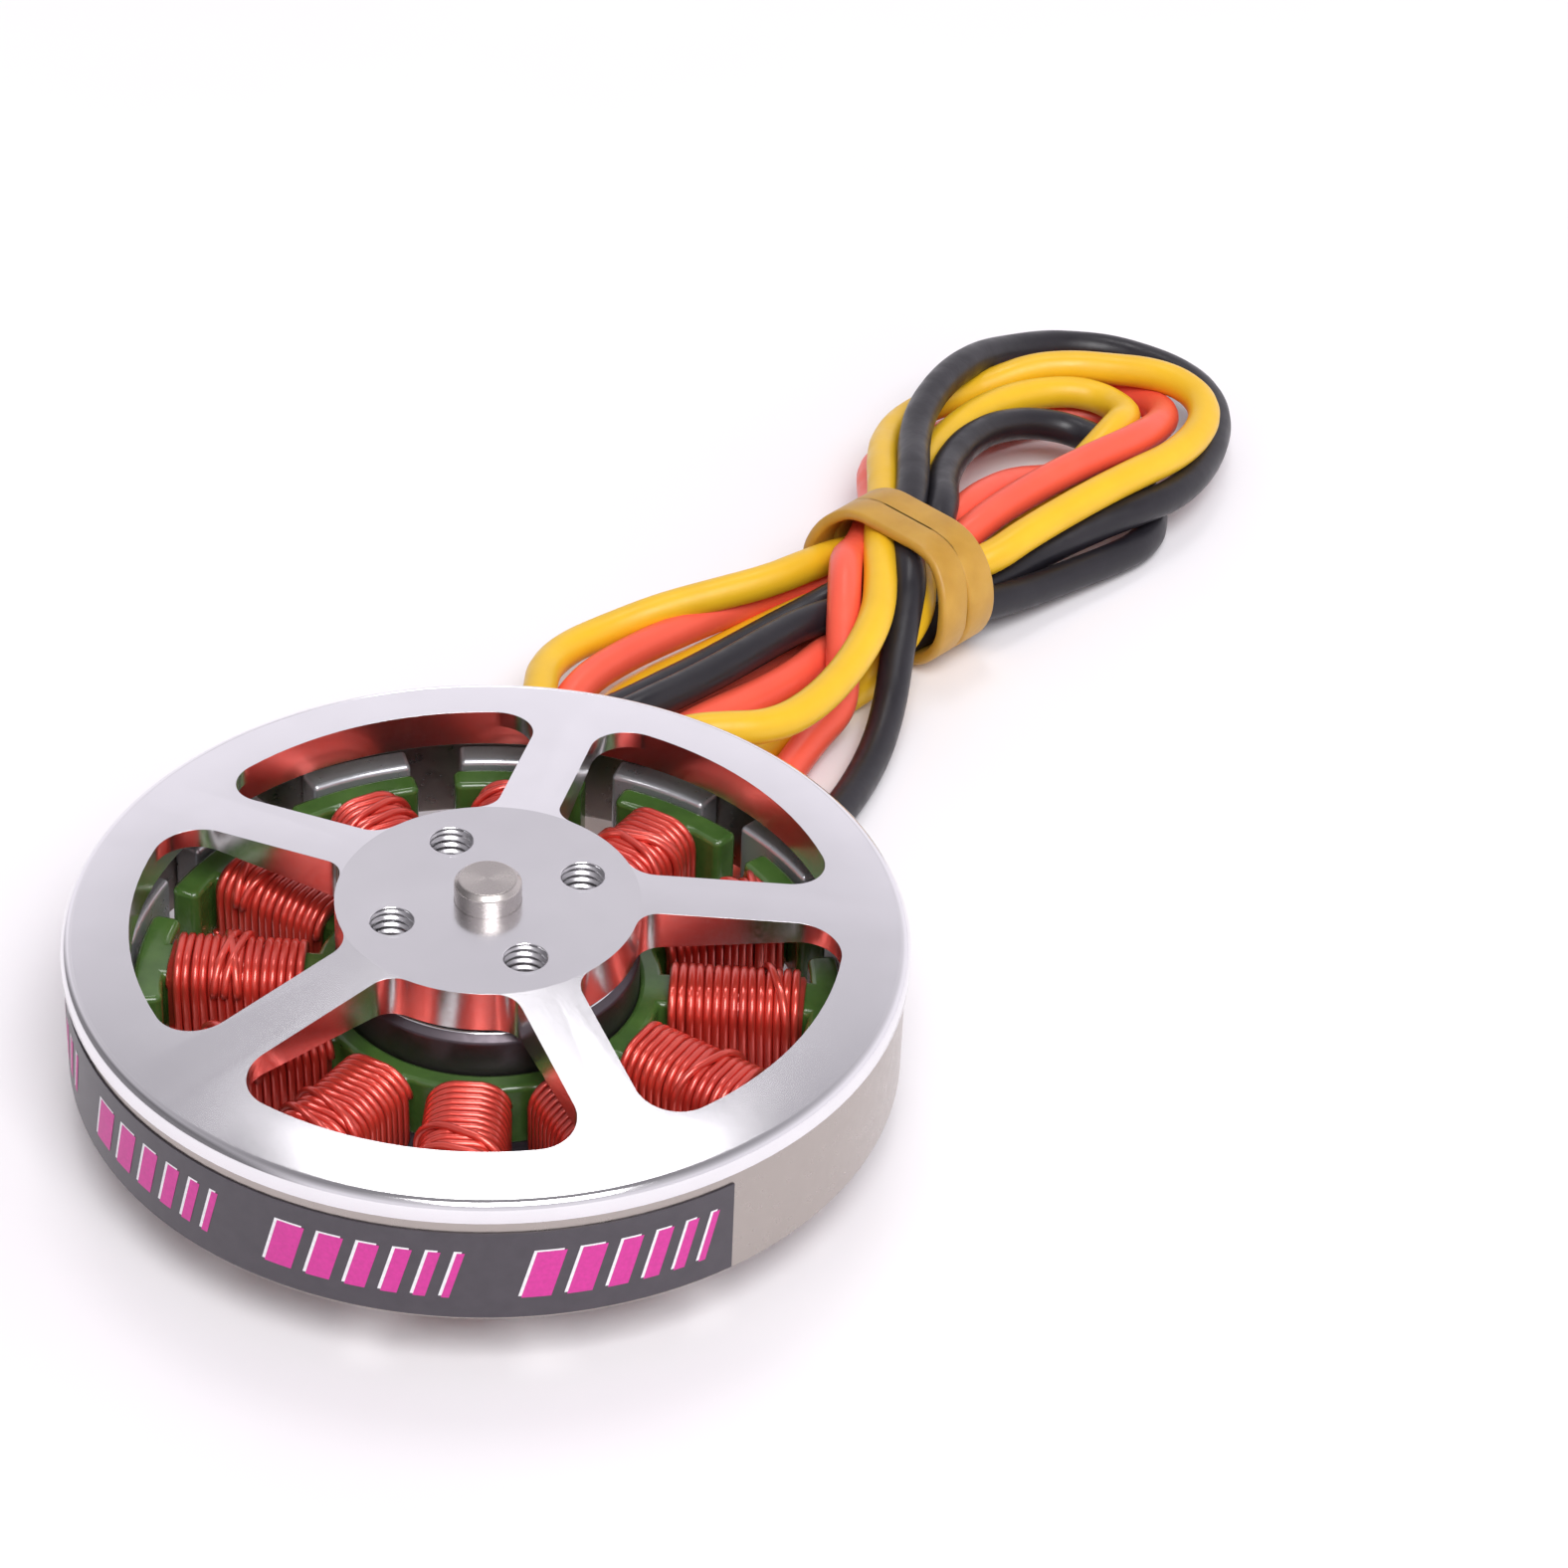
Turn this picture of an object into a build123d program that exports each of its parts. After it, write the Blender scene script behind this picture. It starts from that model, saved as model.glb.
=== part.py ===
from build123d import *
import math
import os

# Brushless outrunner motor, millimetres.
# +Z is the motor axis and points out of the hub. The origin is on that axis, on the plane that
# the base stands on. The rotor (cap, ring, magnets, shaft) spins about +Z round the stator.

# ---------------------------------------------------------------------------------------------
# Driving dimensions
# ---------------------------------------------------------------------------------------------

# Fits
bond_gap = 0.01            # radial gap of glued and pressed joints
spigot_gap = 0.03          # cap spigot in the ring
race_gap = 0.04            # ball to groove
rub_gap = 0.10             # between parts that turn past each other
air_gap = 0.30             # stator head to magnet

# Shaft, clip and shim
shaft_diameter = 4.0
shaft_stub = 1.5           # stands out of the hub
shaft_tail = 0.7           # shaft end below the clip
shaft_chamfer = 0.3
clip_thickness = 0.5
clip_groove_depth = 0.4
clip_slot = 2.4
shim_thickness = 0.2
shim_wall = 1.0

# Ball bearings
bearing_outer_diameter = 11.0
bearing_width = 4.0
ball_diameter = 2.0
ball_count = 7
inner_race_wall = 1.15
outer_race_wall = 1.15
cage_wall = 0.9
cage_foot = 0.5            # cage starts this far above the balls' plane
cage_height = 0.9
cage_pocket_gap = 0.08
shield_thickness = 0.25
shield_recess = 0.10

# Base with bearing tube
clip_recess_depth = 1.6
clip_recess_gap = 0.7
bearing_web = 1.6
web_lip = 0.9              # how far the web covers the outer races
tube_wall = 3.5
tube_rise = 0.4            # tube top above the upper bearing
tube_chamfer = 0.5
plate_thickness = 2.6
plate_overhang = 1.0       # plate edge beyond the bearing tube
shoulder_ledge = 0.8       # the stator sits on this ledge
shoulder_height = 2.0
arm_width = 8.0
arm_count = 4
arm_turn = 12.0            # degrees
base_screw_circle = 25.0   # pitch diameter
base_screw_hole = 2.5      # core of an M3 thread
arm_edge = 0.8             # chamfer round the plate's top edge

# Stator core and coils
stator_diameter = 42.0
core_height = 4.3
slot_count = 12
stator_turn = 28.57        # degrees, first tooth
yoke_wall = 1.4
tooth_width = 3.0
head_thickness = 1.8
head_opening = 2.45        # gap between neighbouring heads
head_edge = 0.5
winding_build = 1.05       # thickness of two layers of wire
winding_gap = 0.02
winding_corner = 2.0
winding_inner_gap = 0.3    # coil to yoke
winding_outer_gap = 0.2    # coil to tooth head

# Magnets and ring
magnet_count = 14
magnet_turn = 12.96        # degrees, first magnet
magnet_thickness = 1.85
magnet_length = 4.9
magnet_spread = 17.2       # degrees that one magnet covers
magnet_edge = 0.3
ring_wall = 1.6
ring_length = 7.3
ring_edge = 0.15

# Label foil round a part of the ring
label_thickness = 0.10
label_height = 6.2
label_foot = 0.25          # above the ring's lower edge
label_start = 100.0        # degrees
label_spread = 208.0       # degrees

# Cap
cap_overhang = 0.24        # cap side stands proud of the ring
cap_side_height = 1.3
cap_edge = 0.7
spigot_depth = 0.6
spigot_wall = 2.13
rim_skirt = 0.75           # cap side below the flat underside
boss_wall = 1.2
boss_height = 0.75
hub_thickness = 2.65
hub_face_radius = 9.0
window_count = 5
window_turn = 7.64         # degrees, first spoke
spoke_width = 3.75
window_outer_corner = 2.5
window_inner_corner = 1.7
hub_screw_circle = 12.0    # pitch diameter
hub_screw_hole = 2.5       # core of an M3 thread
hub_screw_count = 4
hub_screw_turn = 25.4      # degrees

# Phase leads
lead_diameter = 2.3
lead_floor_gap = 0.1
lead_pitch = 3.1           # side by side under the ring
lead_angle = 57.0          # degrees, between two arms
sleeve_wall = 0.3
sleeve_length = 8.0
sleeve_start = 10.9        # from the motor axis
sleeve_floor_gap = 0.1

# Hank: the leads folded in a figure of eight, tied at the waist
hank_height = 6.0
hank_edge = 1.8
hank_waist = (24.1, 50.8)
hank_direction = 48.0      # degrees, along the bundle
bundle_width = 11.6        # at the tie
bundle_height = 7.6
bundle_length = 12.0       # stretch on which the bundle stands above the loops
band_thickness = 0.8
band_width = 5.4
band_side_gap = 0.1
band_gap = 0.05
tip_diameter = 1.2
tip_length = 5.0
tip_places = {"yellow": 4.8, "red": 7.3, "black": 9.8}   # along X, at the near loop
near_loop_foot = 33.2      # Y of the near loop's side towards the motor

# ---------------------------------------------------------------------------------------------
# Sizes worked out from the driving dimensions
# ---------------------------------------------------------------------------------------------

shaft_r = shaft_diameter / 2
bearing_r = bearing_outer_diameter / 2
inner_race_r = shaft_r + inner_race_wall
outer_race_r = bearing_r - outer_race_wall
ball_r = ball_diameter / 2
ball_pitch_r = (inner_race_r + outer_race_r) / 2
tube_r = bearing_r + bond_gap + tube_wall
yoke_r = tube_r + bond_gap + yoke_wall
stator_r = stator_diameter / 2
head_inner_r = stator_r - head_thickness
coil_inner_r = yoke_r + winding_inner_gap
coil_outer_r = head_inner_r - winding_outer_gap
magnet_inner_r = stator_r + air_gap
ring_inner_r = magnet_inner_r + magnet_thickness + bond_gap
ring_r = ring_inner_r + ring_wall
cap_r = ring_r + cap_overhang
spigot_r = ring_inner_r - spigot_gap
window_outer_r = spigot_r - spigot_wall

lower_bearing_z = clip_recess_depth
upper_bearing_z = lower_bearing_z + bearing_width + bearing_web
upper_bearing_top_z = upper_bearing_z + bearing_width
boss_z = upper_bearing_top_z + shim_thickness
cap_under_z = boss_z + boss_height
hub_top_z = cap_under_z + hub_thickness
joint_z = cap_under_z - rim_skirt
rim_top_z = joint_z + cap_side_height
ring_z = joint_z - ring_length
tube_top_z = upper_bearing_top_z + tube_rise
core_z = plate_thickness + shoulder_height
core_mid_z = core_z + core_height / 2
shaft_top_z = hub_top_z + shaft_stub
clip_z = lower_bearing_z - clip_thickness
shaft_bottom_z = clip_z - shaft_tail

lead_r = lead_diameter / 2
lead_z = lead_r + lead_floor_gap
sleeve_r = lead_r + sleeve_wall
sleeve_z = sleeve_r + sleeve_floor_gap


# ---------------------------------------------------------------------------------------------
# Helpers
# ---------------------------------------------------------------------------------------------

def tube(outer_r, inner_r, z_bottom, z_top):
    """A round tube on the motor axis."""
    wall = Circle(outer_r) - Circle(inner_r)
    return Pos(0, 0, z_bottom) * extrude(wall, z_top - z_bottom)


def rod(radius, z_bottom, z_top):
    """A round rod on the motor axis."""
    return Pos(0, 0, z_bottom) * extrude(Circle(radius), z_top - z_bottom)


def turned(points):
    """A solid turned about the motor axis from (radius, height) points."""
    outline = Polyline(*[(r, 0, z) for r, z in points], close=True)
    return revolve(make_face(outline), Axis.Z, 360)


def at_angle(angle, radius):
    """The place at one angle, in degrees, and one radius."""
    return Rot(0, 0, angle) * Pos(radius, 0, 0)


def sector(outer_r, inner_r, middle_angle, spread):
    """A flat piece of a ring, cut square to its two radial edges."""
    reach = outer_r * 1.5
    half = math.radians(spread / 2)
    wedge = Polygon((0, 0), (reach * math.cos(half), -reach * math.sin(half)),
                    (reach * math.cos(half), reach * math.sin(half)), align=None)
    return Rot(0, 0, middle_angle) * ((Circle(outer_r) - Circle(inner_r)) & wedge)


# ---------------------------------------------------------------------------------------------
# Rotor
# ---------------------------------------------------------------------------------------------

def make_bell_cap():
    """Turned cap: cone-shaped face, hub, five windows, spigot for the ring, boss for the shaft."""
    body = turned([
        (shaft_r + bond_gap, boss_z),
        (shaft_r + boss_wall, boss_z),
        (shaft_r + boss_wall, cap_under_z),
        (window_outer_r, cap_under_z),
        (window_outer_r, joint_z - spigot_depth),
        (spigot_r, joint_z - spigot_depth),
        (spigot_r, joint_z),
        (cap_r, joint_z),
        (cap_r, rim_top_z),
        (hub_face_radius, hub_top_z),
        (shaft_r + bond_gap, hub_top_z),
    ])
    rim = body.edges().filter_by(GeomType.CIRCLE).filter_by(lambda e: abs(e.radius - cap_r) < 0.001)
    body = fillet(rim.sort_by(Axis.Z)[-1], cap_edge)

    openings = Circle(window_outer_r) - Circle(hub_face_radius)
    for k in range(window_count):
        spoke = at_angle(window_turn + k * 360 / window_count, 0) \
            * Rectangle(cap_r, spoke_width, align=(Align.MIN, Align.CENTER))
        openings = openings - spoke
    middle_r = (window_outer_r + hub_face_radius) / 2
    outer_corners = openings.vertices().filter_by(lambda v: math.hypot(v.X, v.Y) > middle_r)
    openings = fillet(outer_corners, window_outer_corner)
    inner_corners = openings.vertices().filter_by(
        lambda v: math.hypot(v.X, v.Y) < hub_face_radius + 0.01)
    openings = fillet(inner_corners, window_inner_corner)
    body = body - Pos(0, 0, cap_under_z) * extrude(openings, hub_thickness)

    for k in range(hub_screw_count):
        place = at_angle(hub_screw_turn + k * 360 / hub_screw_count, hub_screw_circle / 2)
        body = body - place * rod(hub_screw_hole / 2, cap_under_z, hub_top_z)
    return body


def make_flux_ring():
    """Steel ring that closes the magnetic circuit behind the magnets."""
    ring = tube(ring_r, ring_inner_r, ring_z, joint_z)
    outer_edges = ring.edges().filter_by(lambda e: abs(e.radius - ring_r) < 0.001
                                         if e.geom_type == GeomType.CIRCLE else False)
    return fillet(outer_edges, ring_edge)


def make_magnet(number):
    """Arc magnet, rounded at its four upright edges."""
    outline = sector(ring_inner_r - bond_gap, magnet_inner_r,
                     magnet_turn + number * 360 / magnet_count, magnet_spread)
    outline = fillet(outline.vertices(), magnet_edge)
    return Pos(0, 0, core_mid_z - magnet_length / 2) * extrude(outline, magnet_length)


def make_label_band():
    """Printed foil glued round a part of the ring."""
    inner_r = ring_r + bond_gap
    low = ring_z + label_foot
    section = Plane.XZ * Pos(inner_r, low) \
        * Rectangle(label_thickness, label_height, align=(Align.MIN, Align.MIN))
    return Rot(0, 0, label_start) * revolve(section, Axis.Z, label_spread)


def make_shaft():
    """Ground steel shaft with a groove for the clip."""
    groove_r = shaft_r - clip_groove_depth
    return turned([
        (0, shaft_bottom_z),
        (shaft_r - shaft_chamfer, shaft_bottom_z),
        (shaft_r, shaft_bottom_z + shaft_chamfer),
        (shaft_r, clip_z),
        (groove_r, clip_z),
        (groove_r, clip_z + clip_thickness),
        (shaft_r, clip_z + clip_thickness),
        (shaft_r, shaft_top_z - shaft_chamfer),
        (shaft_r - shaft_chamfer, shaft_top_z),
        (0, shaft_top_z),
    ])


def make_shaft_shim():
    """Washer between the cap's boss and the inner race of the upper bearing."""
    return tube(shaft_r + shim_wall, shaft_r + bond_gap, upper_bearing_top_z, boss_z)


def make_shaft_clip():
    """Spring clip in the shaft's groove, under the lower bearing."""
    groove_r = shaft_r - clip_groove_depth
    outline = Circle(inner_race_r) - Circle(groove_r + bond_gap)
    outline = outline - Rectangle(2 * inner_race_r, clip_slot, align=(Align.MIN, Align.CENTER))
    return Pos(0, 0, clip_z) * extrude(outline, clip_thickness)


# ---------------------------------------------------------------------------------------------
# Bearings: each has an inner race, an outer race, seven caged balls and two shields
# ---------------------------------------------------------------------------------------------

def ball_groove(z_bottom):
    """The ring-shaped space that the balls run in."""
    return Pos(0, 0, z_bottom + bearing_width / 2) * Torus(ball_pitch_r, ball_r + race_gap)


def make_bearing_inner(z_bottom):
    race = tube(inner_race_r, shaft_r + bond_gap, z_bottom, z_bottom + bearing_width)
    return race - ball_groove(z_bottom)


def make_bearing_outer(z_bottom):
    race = tube(bearing_r, outer_race_r, z_bottom, z_bottom + bearing_width)
    return race - ball_groove(z_bottom)


def make_ball_set(z_bottom):
    """Seven balls and the crown cage that spaces them."""
    middle_z = z_bottom + bearing_width / 2
    cage = tube(ball_pitch_r + cage_wall / 2, ball_pitch_r - cage_wall / 2,
                middle_z + cage_foot, middle_z + cage_foot + cage_height)
    balls = []
    for k in range(ball_count):
        place = Pos(0, 0, middle_z) * at_angle(k * 360 / ball_count, ball_pitch_r)
        cage = cage - place * Sphere(ball_r + cage_pocket_gap)
        balls.append(place * Sphere(ball_r))
    return Compound(children=[cage.solid()] + [ball.solid() for ball in balls])


def make_bearing_shields(z_bottom):
    """Two thin rings held by the outer race, one just inside each face."""
    low = z_bottom + shield_recess
    high = z_bottom + bearing_width - shield_recess - shield_thickness
    shields = [tube(outer_race_r - bond_gap, inner_race_r + rub_gap, z, z + shield_thickness)
               for z in (low, high)]
    return Compound(children=[shield.solid() for shield in shields])


# ---------------------------------------------------------------------------------------------
# Stator
# ---------------------------------------------------------------------------------------------

def make_mount_base():
    """Base plate with four screw arms, and the bearing tube that carries the stator core."""
    shoulder_r = tube_r + shoulder_ledge
    plate = Circle(tube_r + plate_overhang)
    for k in range(arm_count):
        plate = plate + at_angle(arm_turn + k * 360 / arm_count, 0) \
            * (Rectangle(base_screw_circle / 2, arm_width, align=(Align.MIN, Align.CENTER))
               + Pos(base_screw_circle / 2, 0) * Circle(arm_width / 2))
    body = extrude(plate, plate_thickness)
    body = chamfer(body.edges().group_by(Axis.Z)[-1], arm_edge)

    body = body + rod(shoulder_r, 0, core_z)
    stem = rod(tube_r, 0, tube_top_z)
    stem = chamfer(stem.edges().filter_by(GeomType.CIRCLE).sort_by(Axis.Z)[-1], tube_chamfer)
    body = body + stem

    body = body - rod(inner_race_r + clip_recess_gap, 0, lower_bearing_z)
    body = body - rod(bearing_r + bond_gap, lower_bearing_z, lower_bearing_z + bearing_width)
    body = body - rod(bearing_r - web_lip, lower_bearing_z, upper_bearing_z)
    body = body - rod(bearing_r + bond_gap, upper_bearing_z, tube_top_z)
    for k in range(arm_count):
        place = at_angle(arm_turn + k * 360 / arm_count, base_screw_circle / 2)
        body = body - place * rod(base_screw_hole / 2, 0, plate_thickness)
    return body


def make_stator_core():
    """Stack of laminations, coated in epoxy: yoke, teeth and rounded heads."""
    opening_angle = math.degrees(head_opening / stator_r)
    head_spread = 360 / slot_count - opening_angle
    outline = Circle(yoke_r) - Circle(tube_r + bond_gap)
    for k in range(slot_count):
        angle = stator_turn + k * 360 / slot_count
        tooth_length = head_inner_r + head_thickness / 2 - (tube_r + yoke_r) / 2
        tooth = at_angle(angle, (tube_r + yoke_r) / 2) \
            * Rectangle(tooth_length, tooth_width, align=(Align.MIN, Align.CENTER))
        head = fillet(sector(stator_r, head_inner_r, angle, head_spread).vertices(), head_edge)
        outline = outline + tooth + head
    return Pos(0, 0, core_z) * extrude(outline, core_height)


def make_coil(number):
    """Winding of one tooth, a rounded sleeve round it."""
    inner_width = tooth_width + 2 * winding_gap
    inner_height = core_height + 2 * winding_gap
    section = RectangleRounded(inner_width + 2 * winding_build, inner_height + 2 * winding_build,
                               winding_corner)
    section = section - Rectangle(inner_width, inner_height)
    upright = Plane(origin=(coil_inner_r, 0, core_mid_z), x_dir=(0, 1, 0), z_dir=(1, 0, 0))
    winding = extrude(upright * section, coil_outer_r - coil_inner_r)
    return Rot(0, 0, stator_turn + number * 360 / slot_count) * winding


# ---------------------------------------------------------------------------------------------
# Phase leads, hank and band
# ---------------------------------------------------------------------------------------------

# Each lead's place in the row of three, counted from the middle one.
lead_rows = {"yellow": -1, "red": 0, "black": 1}


def lead_line(row, distance, height):
    """A point on the straight start of a lead, at one distance from the motor axis."""
    angle = math.radians(lead_angle)
    across = row * lead_pitch
    return (distance * math.cos(angle) + across * math.sin(angle),
            distance * math.sin(angle) - across * math.cos(angle), height)


# Points of each lead after its straight start, chosen by hand; the last one is in the hank.
lead_clear = 27.0
lead_routes = {
    "yellow": [(13.4, 31.3, lead_z), (16.2, 37.9, lead_z)],
    "red": [(16.6, 30.9, lead_z), (19.4, 38.5, lead_z)],
    "black": [(20.9, 28.7, lead_z), (23.2, 36.8, lead_z), (24.4, 44.7, lead_z)],
}


def make_phase_sleeve(row):
    """Shrink sleeve over the joint of the windings and one lead."""
    start = Vector(*lead_line(row, sleeve_start, sleeve_z))
    end = Vector(*lead_line(row, sleeve_start + sleeve_length, sleeve_z))
    return extrude(Plane(origin=start, z_dir=end - start) * Circle(sleeve_r), sleeve_length)


def lead_points(color):
    """The route of one lead, from its sleeve into the hank."""
    row = lead_rows[color]
    start = lead_line(row, sleeve_start + sleeve_length, sleeve_z)
    clear_of_ring = lead_line(row, lead_clear, sleeve_z)
    return [Vector(*p) for p in [start, clear_of_ring] + lead_routes[color]]


def bend_radii(points):
    """Largest arc that each corner's two runs leave room for."""
    radii = []
    for a, b, c in zip(points, points[1:], points[2:]):
        turn = math.radians((b - a).get_angle(c - b))
        shorter = min((b - a).length, (c - b).length)
        radii.append(0.45 * shorter / math.tan(turn / 2))
    return radii


def make_lead(color, hank):
    """Tube of one lead as far as the hank's side."""
    points = lead_points(color)
    radii = bend_radii(points)
    path = FilletPolyline(*points, radius=radii)
    section = Plane(origin=points[0], z_dir=points[1] - points[0]) * Circle(lead_r)
    whole = sweep(section, path=path)
    expected = math.pi * lead_r ** 2 * path.length
    print("lead", color, "bend radii", [round(r, 1) for r in radii],
          "volume over section times length", round(whole.volume / expected, 4))
    return (whole - hank).solids().sort_by_distance(points[0])[0]


def waist_place():
    """The middle of the tie, X along the bundle."""
    return Pos(hank_waist[0], hank_waist[1], 0) * Rot(0, 0, hank_direction)


def tie_block(grow, length):
    """The bundle's oval section at the tie, larger by grow all round, as a block along it."""
    oval = Ellipse(bundle_width / 2 + grow, bundle_height / 2 + grow)
    middle_z = band_thickness + bundle_height / 2
    across = Plane(origin=(-length / 2, 0, middle_z), x_dir=(0, 1, 0), z_dir=(1, 0, 0))
    return waist_place() * extrude(across * oval, length)


def hank_loop(discs):
    """One loop of the hank: a rounded outline round some discs, its top edge chamfered."""
    edges = []
    for x, y, radius in discs:
        edges += (Pos(x, y) * Circle(radius)).edges()
    block = extrude(make_hull(edges), hank_height)
    return chamfer(block.edges().group_by(Axis.Z)[-1], hank_edge)


def make_lead_hank():
    """Outer shape of the folded leads: a far loop, a near loop, and the tied waist."""
    far_loop = hank_loop([(34.0, 74.8, 10.0), (39.6, 75.0, 8.3), (27.5, 55.0, 6.0)])
    near_loop = hank_loop([(5.4, 40.2, 6.1), (12.0, 39.1, 5.9), (20.5, 47.5, 6.5)])
    eye_discs = (Pos(34.5, 68.0) * Circle(3.0)).edges() + (Pos(32.0, 63.0) * Circle(0.8)).edges()
    loops = far_loop - extrude(make_hull(eye_discs), hank_height) + near_loop
    groove_width = band_width + 2 * band_side_gap
    groove = waist_place() * Box(groove_width, 2 * bundle_width, 3 * hank_height)
    return (loops - groove) + tie_block(0, bundle_length)


def make_rubber_band():
    """Rubber band round the waist of the hank."""
    outer = tie_block(band_thickness, band_width)
    inner = tie_block(band_gap, band_width)
    return outer - inner


def make_lead_tip(color, hank):
    """Tinned bare end of a lead, standing out of the near loop towards the motor."""
    root_depth = 3.0
    start = Plane(origin=(tip_places[color], near_loop_foot + root_depth, lead_z), z_dir=(0, -1, 0))
    whole = extrude(start * Circle(tip_diameter / 2), root_depth + tip_length)
    return (whole - hank).solids().sort_by(Axis.Y)[0]


# ---------------------------------------------------------------------------------------------
# Every sub-part, by name
# ---------------------------------------------------------------------------------------------

def make_all():
    parts = {
        "bell_cap": make_bell_cap(),
        "flux_ring": make_flux_ring(),
        "label_band": make_label_band(),
        "shaft": make_shaft(),
        "shaft_shim": make_shaft_shim(),
        "shaft_clip": make_shaft_clip(),
        "mount_base": make_mount_base(),
        "stator_core": make_stator_core(),
    }
    for number in range(magnet_count):
        parts[f"magnet_{number + 1:02d}"] = make_magnet(number)
    for number in range(slot_count):
        parts[f"coil_{number + 1:02d}"] = make_coil(number)
    for name, z_bottom in (("lower", lower_bearing_z), ("upper", upper_bearing_z)):
        parts[f"{name}_bearing_inner"] = make_bearing_inner(z_bottom)
        parts[f"{name}_bearing_outer"] = make_bearing_outer(z_bottom)
        parts[f"{name}_bearing_shields"] = make_bearing_shields(z_bottom)
        parts[f"{name}_ball_set"] = make_ball_set(z_bottom)
    hank = make_lead_hank()
    parts["lead_hank"] = hank
    parts["rubber_band"] = make_rubber_band()
    for color, row in lead_rows.items():
        parts[f"phase_sleeve_{color}"] = make_phase_sleeve(row)
        parts[f"lead_{color}"] = make_lead(color, hank)
        parts[f"lead_tip_{color}"] = make_lead_tip(color, hank)
    return parts


os.makedirs("parts", exist_ok=True)
for name, part in make_all().items():
    export_step(part, f"parts/{name}.step")
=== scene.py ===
# %% [markdown]
# # Brushless outrunner motor
# A pancake motor 50 mm across: an aluminium cap with five windows, a nickel-plated ring with
# fourteen magnets in it, and inside, standing still, a green-coated stator with twelve wound
# teeth. Three silicone leads leave the stator and are folded into a hank under a rubber band.
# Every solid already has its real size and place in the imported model, so this script dresses
# them: it rounds their edges, winds the coils, lays the leads and gives each surface its finish.

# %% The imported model
import math

import bmesh
import bpy
import numpy as np
from mathutils import Matrix, Vector


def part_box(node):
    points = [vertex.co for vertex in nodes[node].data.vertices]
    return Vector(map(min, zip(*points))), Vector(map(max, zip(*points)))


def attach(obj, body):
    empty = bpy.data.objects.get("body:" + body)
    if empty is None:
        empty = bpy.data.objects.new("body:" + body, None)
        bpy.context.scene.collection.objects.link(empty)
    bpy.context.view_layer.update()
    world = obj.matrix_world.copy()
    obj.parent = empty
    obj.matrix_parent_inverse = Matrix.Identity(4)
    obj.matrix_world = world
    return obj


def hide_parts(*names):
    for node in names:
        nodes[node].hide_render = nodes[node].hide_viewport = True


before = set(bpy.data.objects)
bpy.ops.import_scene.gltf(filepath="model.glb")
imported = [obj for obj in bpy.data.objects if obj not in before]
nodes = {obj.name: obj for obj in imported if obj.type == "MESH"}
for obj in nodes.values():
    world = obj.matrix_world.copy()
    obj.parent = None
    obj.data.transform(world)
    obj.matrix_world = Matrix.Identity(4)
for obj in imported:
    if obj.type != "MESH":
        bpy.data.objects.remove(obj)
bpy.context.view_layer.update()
scene = bpy.context.scene
MM = 0.001

# %% [markdown]
# ## Camera
# A long lens from a little above makes the round cap a calm ellipse. The camera is given as a
# maker would set it on a tripod: where it stands, how far it tips down and how far it leans.

# %% Camera
CAMERA_PLACE = (17.05 * MM, -236.295 * MM, 197.796 * MM)
CAMERA_TIP = math.radians(36.32)
CAMERA_LEAN = math.radians(2.59)
camera_data = bpy.data.cameras.new("camera")
camera_data.lens = 116.89
camera_data.sensor_width = 36.0
camera_data.clip_start = 0.01
camera = bpy.data.objects.new("camera", camera_data)
camera.matrix_world = (
    Matrix.Translation(CAMERA_PLACE)
    @ Matrix.Rotation(math.pi / 2 - CAMERA_TIP, 4, "X")
    @ Matrix.Rotation(CAMERA_LEAN, 4, "Z")
)
scene.collection.objects.link(camera)
scene.camera = camera
print("camera tips down", round(math.degrees(CAMERA_TIP), 1), "degrees")

# %% [markdown]
# ## How the finishes are made
# A finish is a Principled shader with a little noise in its colour, its roughness and its bump.
# The noise reads Object coordinates, so it sticks to the part as the part turns.

# %% Finish helpers
def part_shader(name, color, metallic, roughness):
    """A material and its Principled shader, with the constants set on the shader's own sockets."""
    material = bpy.data.materials.new(name)
    material.use_nodes = True
    shader = material.node_tree.nodes["Principled BSDF"]
    shader.inputs["Base Color"].default_value = (*color, 1)
    shader.inputs["Metallic"].default_value = metallic
    shader.inputs["Roughness"].default_value = roughness
    return material, shader


def add_node(material, kind, **values):
    """A new shader node: a value goes to the input of that name, or else to the property."""
    made = material.node_tree.nodes.new(kind)
    for key, value in values.items():
        if key in made.inputs:
            made.inputs[key].default_value = value
        else:
            setattr(made, key, value)
    return made


def join(material, start, end):
    """Links an output to an input."""
    material.node_tree.links.new(start, end)


def object_noise(material, size, stretch=(1, 1, 1), detail=3.0):
    """Noise of the given grain size in metres on Object coordinates, 0 to 1 about 0.5."""
    place = add_node(material, "ShaderNodeTexCoord")
    turn = add_node(material, "ShaderNodeMapping")
    turn.inputs["Scale"].default_value = stretch
    noise = add_node(material, "ShaderNodeTexNoise", Scale=1 / size, Detail=detail)
    join(material, place.outputs["Object"], turn.inputs["Vector"])
    join(material, turn.outputs["Vector"], noise.inputs["Vector"])
    return noise.outputs["Fac"]


def to_range(material, value, low, high, start=0.3, end=0.7):
    """The value's stretch from start to end, spread over low to high."""
    spread = add_node(material, "ShaderNodeMapRange")
    for key, number in (("From Min", start), ("From Max", end), ("To Min", low), ("To Max", high)):
        spread.inputs[key].default_value = number
    join(material, value, spread.inputs["Value"])
    return spread.outputs["Result"]


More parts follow.
